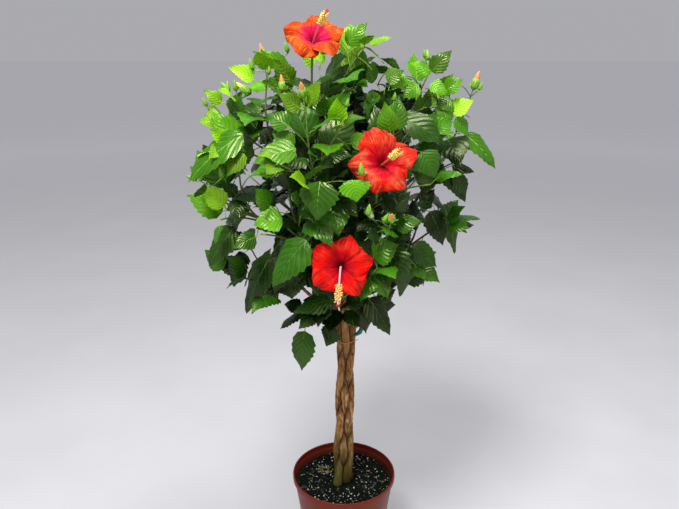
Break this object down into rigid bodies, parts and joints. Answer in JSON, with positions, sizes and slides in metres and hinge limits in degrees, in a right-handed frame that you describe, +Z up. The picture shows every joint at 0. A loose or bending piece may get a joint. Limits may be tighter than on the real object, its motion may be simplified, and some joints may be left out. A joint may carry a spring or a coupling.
{
  "type": "potted hibiscus tree",
  "caption": "Hibiscus tree with a bare braided trunk, a round crown of toothed green leaves with open red blooms and buds, in a round tapering nursery pot.",
  "frame": {"origin": "centre of the pot's flat underside, where it stands on the floor", "axes": "+Z up along the trunk, -Y towards the side that the middle and low blooms face, +X to the right as seen from there"},
  "size_m": [0.5611, 0.5047, 1.1055],
  "materials": {
    "pot_plastic": "satin terracotta-red thin moulded plastic",
    "potting_mix": "dark crumbly peat mix with white perlite grains",
    "bark": "matte tan-brown bark with pale scars and long streaks",
    "petals": "thin silky petals",
    "foliage_young": "glossy lime-green young leaves and buds",
    "foliage_mature": "glossy mid-green toothed leaves",
    "foliage_shade": "satin deep-green toothed leaves"
  },
  "bodies": {
    "root": {"pot": "pot_plastic", "soil": "potting_mix", "stem_front": "bark", "stem_left": "bark", "stem_back": "bark", "stem_right": "bark", "bough_left_side": "bark", "bough_left_low": "bark", "bough_left_skirt": "bark", "bough_right_shoulder": "bark", "bough_right_side": "bark", "bough_right_skirt": "bark", "bough_front_low": "bark", "bough_front_left": "bark", "bough_front_middle": "bark", "bough_back_top": "bark", "bough_back_left": "bark", "bough_back_right": "bark", "bough_back_low": "bark", "bloom_top": "petals", "bloom_middle": "petals", "bloom_low": "petals", "foliage_crown_top": "foliage_young", "foliage_crown_top_right": "foliage_young", "foliage_crown_top_left": "foliage_young", "foliage_crown_front": "foliage_young", "foliage_right_shoulder": "foliage_mature", "foliage_left_side": "foliage_mature", "foliage_right_side": "foliage_shade", "foliage_left_low": "foliage_shade", "foliage_front_middle": "foliage_mature", "foliage_front_left": "foliage_mature", "foliage_front_low": "foliage_mature", "foliage_left_skirt": "foliage_shade", "foliage_right_skirt": "foliage_shade", "foliage_back_top": "foliage_young", "foliage_back_left": "foliage_mature", "foliage_back_right": "foliage_mature", "foliage_back_low": "foliage_shade"}
  },
  "joints": []
}
